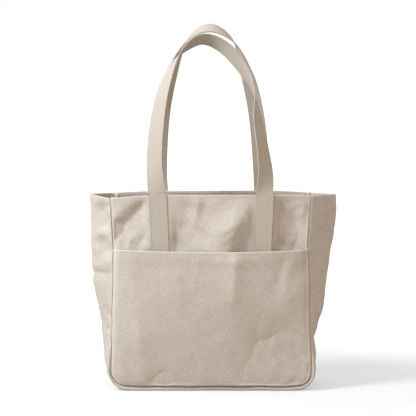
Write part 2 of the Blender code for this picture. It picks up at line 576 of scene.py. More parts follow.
class Wire:
    """A shader socket that can be written in sums, with a Math node for each operation."""

    def __init__(self, kit: "NodeKit", socket: bpy.types.NodeSocket) -> None:
        self.kit = kit
        self.socket = socket

    def __add__(self, other: "Wire | float") -> "Wire":
        """Add."""
        return self.kit.math("ADD", self, other)

    def __mul__(self, other: "Wire | float") -> "Wire":
        """Multiply."""
        return self.kit.math("MULTIPLY", self, other)

    def __lt__(self, other: "Wire | float") -> "Wire":
        """Give 1 where it is less, else 0."""
        return self.kit.math("LESS_THAN", self, other)

    def sine(self) -> "Wire":
        """Take the sine of an angle in radians."""
        return self.kit.math("SINE", self)

    def over(self, low: float, high: float) -> "Wire":
        """Spread the range from low to high over 0 to 1, clamped."""
        return self.kit.node("ShaderNodeMapRange", {}, {0: self, 1: low, 2: high})["Result"]


class NodeKit:
    """Builds one material's node tree."""

    def __init__(self, name: str) -> None:
        """Start a material that holds a Principled BSDF and its output."""
        self.material = bpy.data.materials.new(name)
        self.material.use_nodes = True
        self.tree = self.material.node_tree
        self.shader = self.tree.nodes["Principled BSDF"]

    def node(self, kind: str, settings: dict[str, object], inputs: dict[object, object]) -> dict[str, Wire]:
        """Add any node.

        Args:
            kind: The node's type.
            settings: Its properties, set first.
            inputs: Values or wires for its sockets, by name or number.

        Returns:
            Its outputs by name.
        """
        made = self.tree.nodes.new(kind)
        for key, value in settings.items():
            setattr(made, key, value)
        for key, value in inputs.items():
            self.feed(made.inputs[key], value)
        return {output.name: Wire(self, output) for output in made.outputs if output.enabled}

    def feed(self, socket: bpy.types.NodeSocket, value: object) -> None:
        """Link a wire to a socket, or set a plain value on it."""
        if isinstance(value, Wire):
            self.tree.links.new(value.socket, socket)
        else:
            socket.default_value = value

    def set(self, **values: float) -> None:
        """Set plain values on the shader's sockets, named with _ for each space."""
        for name, value in values.items():
            self.shader.inputs[name.replace("_", " ")].default_value = value

    def math(self, operation: str, *values: "Wire | float") -> Wire:
        """Add a Math node on up to three values."""
        return self.node("ShaderNodeMath", {"operation": operation}, dict(enumerate(values)))["Value"]

    def blend(self, share: "Wire | float", low: object, high: object) -> Wire:
        """Mix two colours.

        Args:
            share: How much of the second there is.
            low: The first colour, as a wire or plain.
            high: The second.

        Returns:
            The mixed colour.
        """
        mixer = self.tree.nodes.new("ShaderNodeMix")
        mixer.data_type = "RGBA"
        enabled = {socket.name: socket for socket in mixer.inputs if socket.enabled}
        for name, value in (("Factor", share), ("A", low), ("B", high)):
            self.feed(enabled[name], value)
        return Wire(self, next(socket for socket in mixer.outputs if socket.enabled))

    def cloth(self) -> tuple[Wire, Wire, Wire]:
        """Give the piece's flat places: as a vector, across and along."""
        vector = self.node("ShaderNodeUVMap", {"uv_map": "cloth"}, {})["UV"]
        parts = self.node("ShaderNodeSeparateXYZ", {}, {0: vector})
        return vector, parts["X"], parts["Y"]

    def noise(
        self, vector: Wire, stretch: tuple[float, float], detail: float = 2.0, rough: float = 0.5
    ) -> Wire:
        """Give noise.

        Args:
            vector: The flat places.
            stretch: How many bumps a metre holds across and along.
            detail: How many finer layers it has.
            rough: How strong they are.

        Returns:
            Its values, around 0.5.
        """
        mapped = self.node("ShaderNodeMapping", {}, {"Vector": vector, "Scale": (*stretch, 1.0)})["Vector"]
        inputs = {"Vector": mapped, "Scale": 1.0, "Detail": detail, "Roughness": rough}
        return self.node("ShaderNodeTexNoise", {}, inputs)["Fac"]

    def flecks(self, vector: Wire, per_metre: float, chosen: float, radius: float) -> Wire:
        """Give 1 in scattered specks, else 0.

        Args:
            vector: The flat places.
            per_metre: How many places for a speck there are along a metre.
            chosen: The share of those places that hold one.
            radius: The greatest radius of a speck, in places.

        Returns:
            The mask.
        """
        inputs = {"Vector": vector, "Scale": per_metre}
        cells = self.node("ShaderNodeTexVoronoi", {"voronoi_dimensions": "2D"}, inputs)
        pick = self.node("ShaderNodeSeparateColor", {}, {0: cells["Color"]})
        return (cells["Distance"] < pick["Green"] * radius) * (pick["Red"] < chosen)

    def relief(self, height: Wire, distance: float) -> None:
        """Feed a height in the given depth of metres to the shader's normal."""
        bump = self.node("ShaderNodeBump", {}, {"Height": height, "Distance": distance, "Strength": 1.0})
        self.feed(self.shader.inputs["Normal"], bump["Normal"])


@dataclass(frozen=True)
class CanvasFinish:
    """Unbleached plain-weave cotton canvas, paler where it is worn at hard folds, with a painted highlight
    along its folded edges and seams.
    """

    light: Colour = (0.678, 0.580, 0.511, 1)
    dark: Colour = (0.470, 0.385, 0.320, 1)
    # paler colour at folded edges and seams: partly real wear, partly a painted highlight where those edges
    # catch the light
    worn_and_highlit: Colour = (0.780, 0.700, 0.630, 1)
    seed: Colour = (0.300, 0.210, 0.150, 1)
    pitch: float = 0.0009

    def material(self, name: str) -> Material:
        """Build the finish.

        Args:
            name: The material's name.

        Returns:
            The material.
        """
        kit = NodeKit(name)
        vector, across, along = kit.cloth()
        turns = math.pi / self.pitch
        weave = (across * turns).sine() * (along * turns).sine()
        slub = kit.noise(vector, (1300, 130)) * 0.5 + kit.noise(vector, (130, 1300)) * 0.5
        grain = kit.noise(vector, (300, 300), 4, 0.7)
        mottle = kit.noise(vector, (60, 60), 3)
        tone = slub.over(0.40, 0.60) * 0.3 + grain.over(0.38, 0.62) * 0.5 + mottle.over(0.3, 0.7) * 0.2
        colour = kit.blend(tone, self.dark, self.light)
        wear_and_highlight = kit.node("ShaderNodeAttribute", {"attribute_name": "wear_and_highlight"}, {})["Fac"]
        # mix in the paler colour by the per-vertex mark: wear at folded edges plus a painted highlight there
        # and beside the seams
        colour = kit.blend(wear_and_highlight, colour, self.worn_and_highlit)
        colour = kit.blend(kit.flecks(vector, 190, 0.08, 0.12) * 0.7, colour, self.seed)
        kit.feed(kit.shader.inputs["Base Color"], colour)
        kit.relief(weave * 0.35 + slub * 0.9 + grain * 0.8, 0.00045)
        kit.set(Roughness=0.93, Specular_IOR_Level=0.15, Sheen_Weight=0.12, Sheen_Roughness=0.6)
        return kit.material


@dataclass(frozen=True)
class WebbingFinish:
    """Natural cotton webbing with cross ribs."""

    light: Colour = (0.570, 0.490, 0.418, 1)
    dark: Colour = (0.404, 0.328, 0.264, 1)
    seed: Colour = (0.200, 0.130, 0.080, 1)
    rib: float = 0.00147
    warp: float = 0.0011

    def material(self, name: str) -> Material:
        """Build the finish.

        Args:
            name: The material's name.

        Returns:
            The material.
        """
        kit = NodeKit(name)
        vector, across, along = kit.cloth()
        band = (along * (math.pi / self.rib)).sine() * 0.5 + 0.5
        rib = (along * (2 * math.pi / self.rib)).sine() * 0.5 + 0.5
        yarn = (across * (2 * math.pi / self.warp)).sine() * 0.5 + 0.5
        grain = kit.noise(vector, (500, 500), 3, 0.65)
        streak = kit.noise(vector, (900, 60))
        tone = band * 0.36 + rib * 0.10 + grain.over(0.35, 0.65) * 0.32 + streak.over(0.35, 0.65) * 0.22
        colour = kit.blend(tone, self.dark, self.light)
        colour = kit.blend(kit.flecks(vector, 130, 0.05, 0.11) * 0.6, colour, self.seed)
        kit.feed(kit.shader.inputs["Base Color"], colour)
        kit.relief(rib * 0.3 + yarn * 0.35 + grain * 0.7, 0.0002)
        kit.set(Roughness=0.88, Specular_IOR_Level=0.2, Sheen_Weight=0.1)
        return kit.material


@dataclass(frozen=True)
class CottonFinish:
    """Plain cotton yarn, as sewing thread or closely woven tape."""

    light: Colour = (0.700, 0.620, 0.540, 1)
    dark: Colour = (0.540, 0.460, 0.380, 1)
    fibres: float = 2600.0

    def material(self, name: str) -> Material:
        """Build the finish.

        Args:
            name: The material's name.

        Returns:
            The material.
        """
        kit = NodeKit(name)
        place = kit.node("ShaderNodeTexCoord", {}, {})["Object"]
        inputs = {"Vector": place, "Scale": self.fibres, "Detail": 1.0}
        fibre = kit.node("ShaderNodeTexNoise", {}, inputs)["Fac"]
        kit.feed(kit.shader.inputs["Base Color"], kit.blend(fibre.over(0.3, 0.7), self.dark, self.light))
        kit.relief(fibre, 0.0001)
        kit.set(Roughness=0.75, Specular_IOR_Level=0.25)
        return kit.material


# --- canvas


@dataclass(frozen=True)
class Hem:
    """A cloth edge that is turned in and sewn down."""

    depth: float
    radius: float
    stitch: float  # how far the topstitching is below the edge
    stitch_sunk: float = 0.0002
    stitch_reach: float = 0.0014
    raw_sunk: float = 0.00003  # where the raw edge inside shows through
    raw_reach: float = 0.0020
    # how pale the folded edge is made: real wear plus a painted highlight
    wear_and_highlight: float = 0.55
    pale_reach: float = 0.0018
    lead: float = 0.010  # how far below the turn its finer rows start
    lead_step: float = 0.0010
    turn_step: float = 0.0006
    step: float = 0.004

    def turn(self, past: Array) -> tuple[Array, Array]:
        """Follow the cloth over its edge.

        Args:
            past: Distances along the cloth past the start of the turn.

        Returns:
            The rise above the start of the turn, and the distance inwards.
        """
        arc = math.pi * self.radius
        angle = np.clip(past, 0, arc) / self.radius
        rise = np.where(past > arc, arc - past, self.radius * np.sin(angle))
        return rise, self.radius * (1 - np.cos(angle))

    def past_edge(self) -> float:
        """Give the length of the cloth from the start of the turn to its raw edge."""
        return math.pi * self.radius + self.depth

    def rows(self, run: float) -> tuple[tuple[float, float, float], ...]:
        """Give the runs of rows near and in the hem, for cloth whose turn starts at a run."""
        arc = run + math.pi * self.radius
        turned = (run, arc, self.turn_step), (arc, arc + self.depth, self.step)
        return (run - self.lead, run, self.lead_step), *turned

    def press(self, below: Array) -> Array:
        """Give how far the stitching presses the cloth in, by the distance below the edge."""
        stitched = self.stitch_sunk * bell(below - self.stitch, self.stitch_reach)
        return stitched + self.raw_sunk * bell(below - self.depth, self.raw_reach)

    def worn_and_highlit(self, below: Array) -> Array:
        """Give how worn the cloth is at its folded edge, together with a painted highlight there, by the
        distance below the edge.
        """
        return self.wear_and_highlight * bell(np.clip(below, 0, None), self.pale_reach)


def sew_in(piece: Piece, finish: Material, thickness: float, node: str) -> None:
    """Give a laid-out cloth its thickness, dress it and fix it to the bag.

    Args:
        piece: The cloth, whose face is its outer one.
        finish: Its material.
        thickness: How thick it is, inwards.
        node: The CAD node that it stands for.
    """
    apply(piece, "SOLIDIFY", thickness=thickness, offset=-1.0)
    finish_piece(piece, finish, [node])
    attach(piece, BAG)


@dataclass
class Wall:
    """A canvas wall on a long side, sewn in at its sides and foot and hemmed along its top.

    Its methods take places across as x and heights as z, and give one value for each point.
    """

    form: BagForm
    side: Side
    name: str
    node: str
    crumple: Crumple
    folds: tuple[Fold, ...] = ()
    hem: Hem = Hem(depth=0.024, radius=0.0013, stitch=0.005)
    half_flat: float = 0.187
    seam_reach: float = 0.0038
    seam_depth: float = 0.0018
    roll_reach: float = 0.0290
    roll_depth: float = 0.0032
    calm: float = 0.010  # how far from the seam the relief has its full height
    most_in: float = 0.45  # the relief's greatest depth, as a share of the distance from the seam
    held_reach: float = 0.022
    strap_margin: float = 0.016
    # a painted highlight: a pale band a little way in from each seam, where the turned-in cloth catches the
    # light
    seam_highlight: float = 0.4
    highlight_place: float = 0.0035
    pale_reach: float = 0.002
    thickness: float = 0.0009
    allowance: float = 0.010
    pitch: float = 0.0021
    fine: float = 0.007  # how wide the stretch with finer spacing is along the seams
    fine_across: float = 0.0007
    fine_along: float = 0.0008

    def top(self, x: Array) -> Array:
        """Give the height of the folded edge."""
        return self.form.rim_of(self.side, x)

    def nominal_top(self) -> float:
        """Give the height that the cloth was cut to reach."""
        return self.form.rim

    def stand_off(self, x: Array, z: Array) -> Array:
        """Give how far the wall stands off the smooth panel face."""
        return np.zeros_like(x)

    def freedom(self, x: Array, z: Array) -> Array:
        """Give how freely the cloth can crease, from 0 to 1."""
        held = smoothstep((self.top(x) - z) / self.held_reach)
        return (1 - self.form.strap_cover(x, z, self.strap_margin)) * mix(HELD, 1.0, held)

    def run(self) -> float:
        """Give the length of the cloth from the base seam to the start of its hem's turn."""
        return self.nominal_top() - self.form.seam_lift - self.hem.radius

    def outer(self, x: Array, z: Array) -> Array:
        """Give the distance of the outer face from the middle plane, folds included."""
        edge = self.form.edge(x, z)
        relief = self.crumple.at(x, z) + stand_out(self.folds, x, z)
        relief = relief * self.freedom(x, z) * smoothstep(edge / self.calm)
        relief = np.maximum(relief, -self.most_in * edge)
        relief = relief - self.hem.press(self.top(x) - z)
        sunk = turned_in(edge, self.seam_reach, self.seam_depth)
        sunk = sunk + turned_in(edge, self.roll_reach, self.roll_depth)
        return self.form.face(x, z) + self.stand_off(x, z) + relief - sunk

    def place(self, across: Array, along: Array) -> Array:
        """Lay flat cloth on the wall, its hem turned in.

        Args:
            across: Flat places from the middle, to the left as seen from outside.
            along: Flat places from the base seam.

        Returns:
            The points in space.
        """
        form = self.form
        rise, inwards = self.hem.turn(along - self.run())
        share = np.clip(along / self.run(), 0, 1)
        flat_x = -self.side.value * across
        x = flat_x
        for _ in range(3):
            turn = self.top(x) - self.hem.radius
            z = mix(form.seam_lift, turn, share) + rise
            low = np.minimum(z, turn)
            x = flat_x / self.half_flat * form.outline(flat_x, low)
        out = self.outer(x, low) - inwards
        shift_x, shift_z = form.wander(self.side.value, x, low, form.edge(x, low))
        return np.column_stack([x + shift_x, self.side.value * out, z + shift_z])

    def row(self, below: float) -> Row:
        """Give a line of points for stitches.

        Args:
            below: Its distance below the folded edge.

        Returns:
            The points and the ways outwards.
        """
        across = row_places(self.half_flat)
        points = self.place(across, np.full_like(across, self.run() - below + self.hem.radius))
        return points, straight_out(self.side, len(points))

    def build(self, finish: Material) -> None:
        """Args:
            finish: The canvas.
        """
        run, fine = self.run(), self.fine
        across = seam_to_seam(self.half_flat, fine, self.fine_across, self.pitch)
        middle = (fine, run - self.hem.lead, self.pitch)
        along = stations((0, fine, self.fine_along), middle, *self.hem.rows(run))
        piece = laid_cloth(self.name, across, along, self.place)
        x, _, z = points_of(piece).T
        # painted highlight beside the seams, added to the folded edge's wear and painted highlight
        seam_highlight = self.seam_highlight * bell(self.form.edge(x, z) - self.highlight_place, self.pale_reach)
        mark(piece, "wear_and_highlight", self.hem.worn_and_highlit(self.top(x) - z) + seam_highlight)
        sew_in(piece, finish, self.thickness, self.node)
        width = 2 * (self.half_flat + self.allowance)
        length = run + self.hem.past_edge() + self.allowance


@dataclass
class Pocket(Wall):
    """The patch pocket, which lies over the front wall from seam to seam."""

    mouth: float = 0.2645
    sag: float = 0.0032
    sag_half: float = 0.183
    ease: float = 0.0068
    clear: float = 0.0016
    gape_share: float = 0.45  # of the mouth's height, at which it gapes in full
    rise_reach: float = 0.012

    def top(self, x: Array) -> Array:
        """Give the height of the mouth, which sags between the seams."""
        return self.mouth - self.sag * (1 - np.clip(np.abs(x) / self.sag_half, 0, 1) ** 2)

    def nominal_top(self) -> float:
        """Give the height that the cloth was cut to reach."""
        return self.mouth - self.sag

    def stand_off(self, x: Array, z: Array) -> Array:
        """Give how far the pocket stands off the panel: by its hem at the sides, and more between them."""
        across = np.clip(np.abs(x) / self.half_flat, 0, 1)
        rise = smoothstep((z - self.form.seam_lift) / (self.gape_share * self.mouth))
        hem = 2 * self.hem.radius * smoothstep((z - self.top(x) + 2 * self.hem.depth) / (2 * self.hem.depth))
        inner = smoothstep(self.form.edge(x, z) / self.rise_reach)
        return self.clear + (hem + self.ease * (1 - across**4) * rise) * inner

    def freedom(self, x: Array, z: Array) -> Array:
        """Give how freely the cloth can crease, from 0 to 1."""
        return mix(0.5, 1.0, smoothstep((self.top(x) - z) / 0.020))


@dataclass
class Gusset:
    """The strip of canvas up one short side, under the base and up the other, folded outwards."""

    form: BagForm
    crumple: Crumple
    folds: dict[Hand, tuple[Fold, ...]]
    hem: Hem = Hem(depth=0.024, radius=0.0013, stitch=0.005)
    half_flat: float = 0.0675
    seam_reach: float = 0.0065
    seam_depth: float = 0.0032
    round: float = 0.0110  # of its edges under the base
    pucker: Crumple = Crumple(seed=9, height=0.0016, size=0.011)
    pucker_place: float = 0.009
    pucker_reach: float = 0.007
    roll: float = 0.0038  # how far its edges bulge past the seams, low down
    roll_reach: float = 0.0060
    roll_height: float = 0.10
    calm: float = 0.010
    most_in: float = 0.6
    held_reach: float = 0.022
    rim_drop: float = 0.002
    rim_rounding: float = 0.25
    bulge_rounding: float = 0.005
    base_blend: float = 0.004
    fold_share: float = 0.25  # of the rim's height, at which its round edges have become the fold
    creases_start: float = 0.02  # above the base, and they are full as far again
    ends_apart: float = 0.5  # between the two ends' places in the noise
    thickness: float = 0.0009
    allowance: float = 0.010
    pitch: float = 0.0021
    base_pitch: float = 0.0060
    fine: float = 0.007
    fine_across: float = 0.0008

    def bow(self, x: Array, u: Array, z: Array) -> Array:
        """Give how far the strip stands out past its seams.

        Args:
            x: The side that each point is on, by its sign.
            u: Places from the front seam (-1) to the back seam (1).
            z: Heights on the seam's path.

        Returns:
            The distance at each point.
        """
        form = self.form
        bulge = form.by_hand(x, lambda shape: eased(z, shape.bulge, self.bulge_rounding))
        bulge = mix(form.seam_lift, bulge, smoothstep((z - form.seam_lift) / self.base_blend))
        soft = form.fold_softness
        fold = 1 - (np.hypot(u, soft) - soft) / (math.hypot(1, soft) - soft)
        lip = np.sqrt(1 - np.clip(1 - (1 - np.abs(u)) * self.half_flat / self.round, 0, 1) ** 2)
        return bulge * mix(lip, fold, smoothstep((z - form.seam_lift) / (self.fold_share * form.rim)))

    def slope(self, x: Array, u: Array, z: Array) -> Array:
        """Give how fast the strip stands out more, from front to back."""
        small = 0.01
        return (self.bow(x, u + small, z) - self.bow(x, u - small, z)) / (2 * small)

    def side_length(self, x: Array) -> Array:
        """Give the length of the strip from the top of a bottom corner to the start of the rim's turn."""
        return self.form.rim - self.form.seam_lift - self.form.corner(x) - self.hem.radius

    def end(self, hand: Hand) -> float:
        """Give the distance along the strip from the middle of the base to the start of a rim's turn."""
        corner = SHAPES[hand].corner
        base = SHAPES[hand].seam[0][1] - corner
        return base + corner * math.pi / 2 + self.form.rim - self.form.seam_lift - corner - self.hem.radius

    def relief(self, side: Array, across: Array, z: Array, edge: Array) -> Array:
        """Give how far creases, folds and puckers stand off the folded strip.

        Args:
            side: The sign of X.
            across: Flat places across.
            z: Heights.
            edge: Distances from the nearer seam.

        Returns:
            The height of the relief at each point, calm on the base.
        """
        on_side = smoothstep((z - self.form.seam_lift - self.creases_start) / self.creases_start)
        apart = z + self.ends_apart * side
        relief = self.crumple.at(apart, across)
        for hand, folds in self.folds.items():
            relief = relief + np.where(side == hand.value, 1.0, 0.0) * stand_out(folds, across, z)
        pucker = self.pucker.layer(apart, np.sign(across) * 0.3, self.pucker.size, 1) * self.pucker.height
        pucker = pucker * bell(edge - self.pucker_place, self.pucker_reach)
        relief = relief * smoothstep(edge / self.calm) + pucker
        held = mix(HELD, 1.0, smoothstep((self.form.rim - z) / self.held_reach))
        relief = np.maximum(relief * held * on_side, -self.most_in * edge)
        return relief - on_side * self.hem.press(self.form.rim - z)

    def tuck(self, z: Array, edge: Array) -> Array:
        """Give how far the edges turn in towards the middle, less where they roll out low down.

        Args:
            z: Heights.
            edge: Distances from the nearer seam.

        Returns:
            The distance at each point.
        """
        low = 1 - smoothstep((z - self.form.seam_lift) / self.roll_height)
        roll = self.roll * low * (edge / self.roll_reach) * np.exp(1 - edge / self.roll_reach)
        return turned_in(edge, self.seam_reach, self.seam_depth) - roll

    def place(self, across: Array, along: Array) -> Array:
        """Give the points in space for flat places, along from the middle of the base."""
        return self.placed(across, along)[0]

    def placed(self, across: Array, along: Array) -> Row:
        """Lay the flat strip on its path and stand it out.

        Args:
            across: Flat places from the middle, towards the back.
            along: Flat places from the middle of the base, towards the right.

        Returns:
            The points in space, and the ways outwards from them.
        """
        form, side = self.form, np.where(along < 0, -1.0, 1.0)
        u = across / self.half_flat
        angle, corner_x, corner_z, climbed = form.corner_path(side, np.abs(along))
        length = self.side_length(side)
        rise, inwards = self.hem.turn(climbed - length)
        drop = form.by_hand(side, lambda shape: eased(u, shape.rim, self.rim_rounding))
        turn = form.rim - drop - self.hem.radius
        side_z = mix(form.seam_lift + form.corner(side), turn, np.clip(climbed / length, 0, 1))
        path_z = np.where(climbed > 0, side_z + np.where(climbed > length, rise, 0), corner_z)
        flat_z = np.minimum(path_z, turn)
        path_x = np.where(climbed > 0, form.seam(side, flat_z), corner_x)
        out_x, out_z = np.sin(angle), -np.cos(angle)
        seam_z = np.maximum(flat_z, form.seam_lift)
        slope, depth = self.slope(side, u, seam_z), form.half_depth(seam_z)
        steep = np.hypot(slope, depth)
        edge = (1 - np.abs(u)) * self.half_flat
        relief = self.relief(side, across, flat_z, edge) - inwards
        out = self.bow(side, u, seam_z) + relief * depth / steep
        y = depth * u - relief * slope / steep - np.sign(u) * self.tuck(flat_z, edge)
        shift_x, shift_z = form.wander(np.sign(u), side * path_x, flat_z, edge)
        x = side * (path_x + out * out_x) + shift_x
        z = np.maximum(path_z + out * out_z + shift_z, 0.0)
        outwards = np.column_stack([side * out_x * depth / steep, -slope / steep, out_z * depth / steep])
        return np.column_stack([x, y, z]), outwards

    def row(self, hand: Hand, below: float) -> Row:
        """Give a line of points round one end of the strip for stitches.

        Args:
            hand: Which end.
            below: Its distance below the folded edge.

        Returns:
            The points and the ways outwards.
        """
        across = row_places(self.half_flat)
        along = hand.value * (self.end(hand) - below + self.hem.radius)
        return self.placed(across, np.full_like(across, along))

    def rows(self, hand: Hand) -> Array:
        """Space out places from the middle of the base to one raw edge."""
        base, run = SHAPES[hand].seam[0][1] - SHAPES[hand].corner, self.end(hand)
        side = (base, run - self.hem.lead, self.pitch)
        return stations((0, base, self.base_pitch), side, *self.hem.rows(run))

    def build(self, finish: Material) -> None:
        """Args:
            finish: The canvas.
        """
        across = seam_to_seam(self.half_flat, self.fine, self.fine_across, self.pitch)
        along = np.concatenate([-self.rows(Hand.LEFT)[:0:-1], self.rows(Hand.RIGHT)])
        piece = laid_cloth("gusset_canvas", across, along, self.place)
        mark(piece, "wear_and_highlight", self.hem.worn_and_highlit(self.form.rim - self.rim_drop - points_of(piece)[:, 2]))
        sew_in(piece, finish, self.thickness, "gusset")
        width = 2 * (self.half_flat + self.allowance)
        length = sum(self.end(hand) + self.hem.past_edge() for hand in Hand)


# --- webbing and tape


@dataclass
class Handle:
    """One handle: a length of webbing sewn to its long side, over in a loop, and down again."""

    form: BagForm
    side: Side
    run: tuple[tuple[float, float, float], ...]  # places across and up the loop, and the roll in degrees
    rise: float
    width: float = 0.032
    thickness: float = 0.0020
    clear: float = 0.0004
    top_offset: float = 0.020
    lean_power: float = 1.4
    hinge_gap: float = 0.0006
    rib: float = 0.00147
    rib_depth: float = 0.00007
    band: float = 0.8  # how strong every third rib is, as a share
    seam_zone: float = 0.006
    round: float = 0.0006  # of its long edges
    columns: int = 10
    sewn_steps: int = 79
    loop_steps: int = 500
    line_steps: int = 1599
    window: int = 9  # steps each way over which its small kinks are rounded

    def label(self) -> str:
        """Give the side's name as the frame's nodes have it."""
        return self.side.name.lower()

    def loop_rows(self) -> Array:
        """Read the run at even steps, on a Catmull-Rom curve through its points.

        Returns:
            Rows of places across and up, and the roll.
        """
        points = np.array(self.run, dtype=float)
        points = np.vstack([points[0], points, points[-1]])
        step = np.linspace(0, len(self.run) - 1, self.loop_steps + 1)
        index = np.minimum(step.astype(int), len(self.run) - 2)
        t = (step - index)[:, None]
        a, b, c, d = (points[index + k] for k in range(4))
        squared, cubed = (2 * a - 5 * b + 4 * c - d) * t**2, (3 * b - a - 3 * c + d) * t**3
        return 0.5 * (2 * b + (c - a) * t + squared + cubed)

    def line(self) -> tuple[Array, Array, Array]:
        """Give the handle's middle line.

        Returns:
            Its lengths so far, its points and its rolls in radians.
        """
        form, half = self.form, self.form.strap_spacing / 2
        rows = self.loop_rows()
        sewn = self.clear + self.thickness / 2
        roots = form.face(np.array([-half, half]), np.full(2, form.rim)) + sewn
        root = np.interp(rows[:, 0], (-1, 1), roots)
        lean = (root - self.top_offset) * np.clip(rows[:, 1], 0, 1) ** self.lean_power
        up = form.rim + self.hinge_gap + rows[:, 1] * self.rise
        loop = np.column_stack([rows[:, 0] * half, self.side.value * (root - lean), up])
        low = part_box(f"{self.label()}_handle_left_end")[0].z
        z = np.linspace(low, form.rim, self.sewn_steps + 1)
        ends = []
        for hand in Hand:
            x = form.strap_middle(hand, z)
            ends.append(np.column_stack([x, self.side.value * (form.face(x, z) + sewn), z]))
        points = np.vstack([ends[0], loop, ends[1][::-1]])
        roll = np.radians(np.pad(rows[:, 2], len(z)))
        return self.smoothed(lengths_along(points), points, roll)

    def smoothed(self, lengths: Array, points: Array, roll: Array) -> tuple[Array, Array, Array]:
        """Even out the line's steps and round its small kinks.

        Args:
            lengths: The lengths so far.
            points: The points.
            roll: The rolls.

        Returns:
            The same three, smoothed.
        """
        window = self.window
        even = np.linspace(0, lengths[-1], self.line_steps + 1)
        values = np.column_stack([np.interp(even, lengths, column) for column in (*points.T, roll)])
        padded = np.pad(values, ((window, window), (0, 0)), mode="edge")
        kernel = np.hanning(2 * window + 1)
        kernel /= kernel.sum()
        soft = np.column_stack([np.convolve(column, kernel, mode="valid") for column in padded.T])
        soft[:window], soft[-window:] = values[:window], values[-window:]
        return even, soft[:, :3], soft[:, 3]

    def place(self, across: Array, along: Array) -> Array:
        """Lay flat webbing along the line.

        Args:
            across: Flat places from the middle.
            along: Flat places from the lower left end.

        Returns:
            The points in space.
        """
        lengths, points, roll = self.line()
        way = unit(np.gradient(points, axis=0))
        inside = -unit(np.cross(way, [0.0, 1.0, 0.0]))
        wide = np.cos(roll)[:, None] * inside + np.sin(roll)[:, None] * np.array([0.0, self.side.value, 0.0])
        wide = unit(wide - way * np.sum(wide * way, axis=1)[:, None])
        middle = np.column_stack([np.interp(along, lengths, column) for column in points.T])
        wide = np.column_stack([np.interp(along, lengths, column) for column in wide.T])
        return middle + across[:, None] * wide

    def build(self, finish: Material) -> None:
        """Args:
            finish: The webbing.
        """
        length = self.line()[0][-1]
        across = np.linspace(-self.width / 2, self.width / 2, self.columns + 1)
        along = np.linspace(0, length, 3 * round(length / self.rib) + 1)
        name = f"{self.label()}_handle"
        piece = laid_cloth(f"{name}_webbing", across, along, self.place)
        mark(piece, "length", np.repeat(along, len(across)))
        apply(piece, "SOLIDIFY", thickness=self.thickness, offset=0.0)
        corners = {"limit_method": "ANGLE", "angle_limit": math.radians(50)}
        apply(piece, "BEVEL", width=self.round, segments=2, **corners)
        self.emboss(piece)
        finish_piece(piece, finish, [f"{name}_loop", f"{name}_left_end", f"{name}_right_end"])
        y, rim = self.side.value * self.form.half_rim, self.form.rim
        rim - self.seam_zone
        rim + self.seam_zone
        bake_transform(piece)

    def emboss(self, piece: Piece) -> None:
        """Raise the webbing's cross ribs, every third one more.

        Args:
            piece: The webbing, each vertex marked with its place along it.
        """
        turns = 2 * math.pi * read(piece.data.attributes["length"].data, "value")
        ribs = np.cos(turns / self.rib) + self.band * np.cos(turns / (3 * self.rib))
        normals = read(piece.data.vertex_normals, "vector", 3).reshape(-1, 3)
        move_to(piece, points_of(piece) + (self.rib_depth * ribs)[:, None] * normals)

    def edge_row(self, hand: Hand, edge: int, inset: float, heights: tuple[float, float]) -> Row:
        """Give a line of points along an edge of a sewn end for stitches.

        Args:
            hand: Which end.
            edge: Which edge of it, by the sign of X.
            inset: How far inside the edge.
            heights: Where the line starts and stops.

        Returns:
            The points and the ways outwards.
        """
        z = np.arange(*heights, ROW_STEP)
        middle = self.form.strap_middle(hand, z)
        x = middle + edge * (self.width / 2 - inset)
        out = self.form.face(middle, z) + self.clear + self.thickness
        return np.column_stack([x, self.side.value * out, z]), straight_out(self.side, len(z))


@dataclass
class SeamTape:
    """The tape folded over a long side's raw seam edges inside the bag."""

    form: BagForm
    side: Side
    gusset: Gusset
    width: float = 0.0085
    gap: float = 0.0009
    thickness: float = 0.0005
    start: float = 0.0036
    tilt: float = math.radians(35)
    short: float = 0.003  # how far below the rim's turn it stops
    pitch: float = 0.0035
    pitch_across: float = 0.0021
    pitch_fold: float = 0.0005

    def place(self, across: Array, along: Array) -> Array:
        """Lay flat tape along the seam, folded over its middle.

        Args:
            across: Flat places from the middle.
            along: Flat places from the middle of the base, towards the right.

        Returns:
            The points in space.
        """
        form, hand = self.form, np.where(along < 0, -1.0, 1.0)
        angle, corner_x, corner_z, climbed = form.corner_path(hand, np.abs(along))
        z = corner_z + np.clip(climbed, 0, None)
        x = np.where(climbed > 0, form.seam(hand, z), corner_x)
        turn = np.clip(across / self.gap, -math.pi / 2, math.pi / 2)
        down = np.clip(np.abs(across) - self.gap * math.pi / 2, 0, None)
        reach = self.start + self.width - down + self.gap * np.cos(turn)
        aside = self.side.value * self.gap * np.sin(turn)
        inwards = reach * math.cos(self.tilt) - aside * math.sin(self.tilt)
        y = form.half_depth(z) - reach * math.sin(self.tilt) - aside * math.cos(self.tilt)
        shift_x, shift_z = form.wander(self.side.value, hand * x, z, np.zeros_like(z))
        x = hand * (x - np.sin(angle) * inwards) + shift_x
        return np.column_stack([x, self.side.value * y, z + np.cos(angle) * inwards + shift_z])

    def build(self, finish: Material) -> None:
        """Args:
            finish: The tape's material.
        """
        ends = [self.gusset.end(hand) - self.short for hand in Hand]
        fold = self.gap * math.pi / 2
        half = self.width + fold
        across = seam_to_seam(half, half - fold, self.pitch_across, self.pitch_fold)
        along = stations((-ends[0], ends[1], self.pitch))
        label = self.side.name.lower()
        piece = laid_cloth(f"{label}_seam_tape", across, along, self.place)
        apply(piece, "SOLIDIFY", thickness=self.thickness, offset=0.0)
        finish_piece(piece, finish, [f"{label}_seam_binding"])
        2 * half
        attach(piece, BAG)


# --- thread


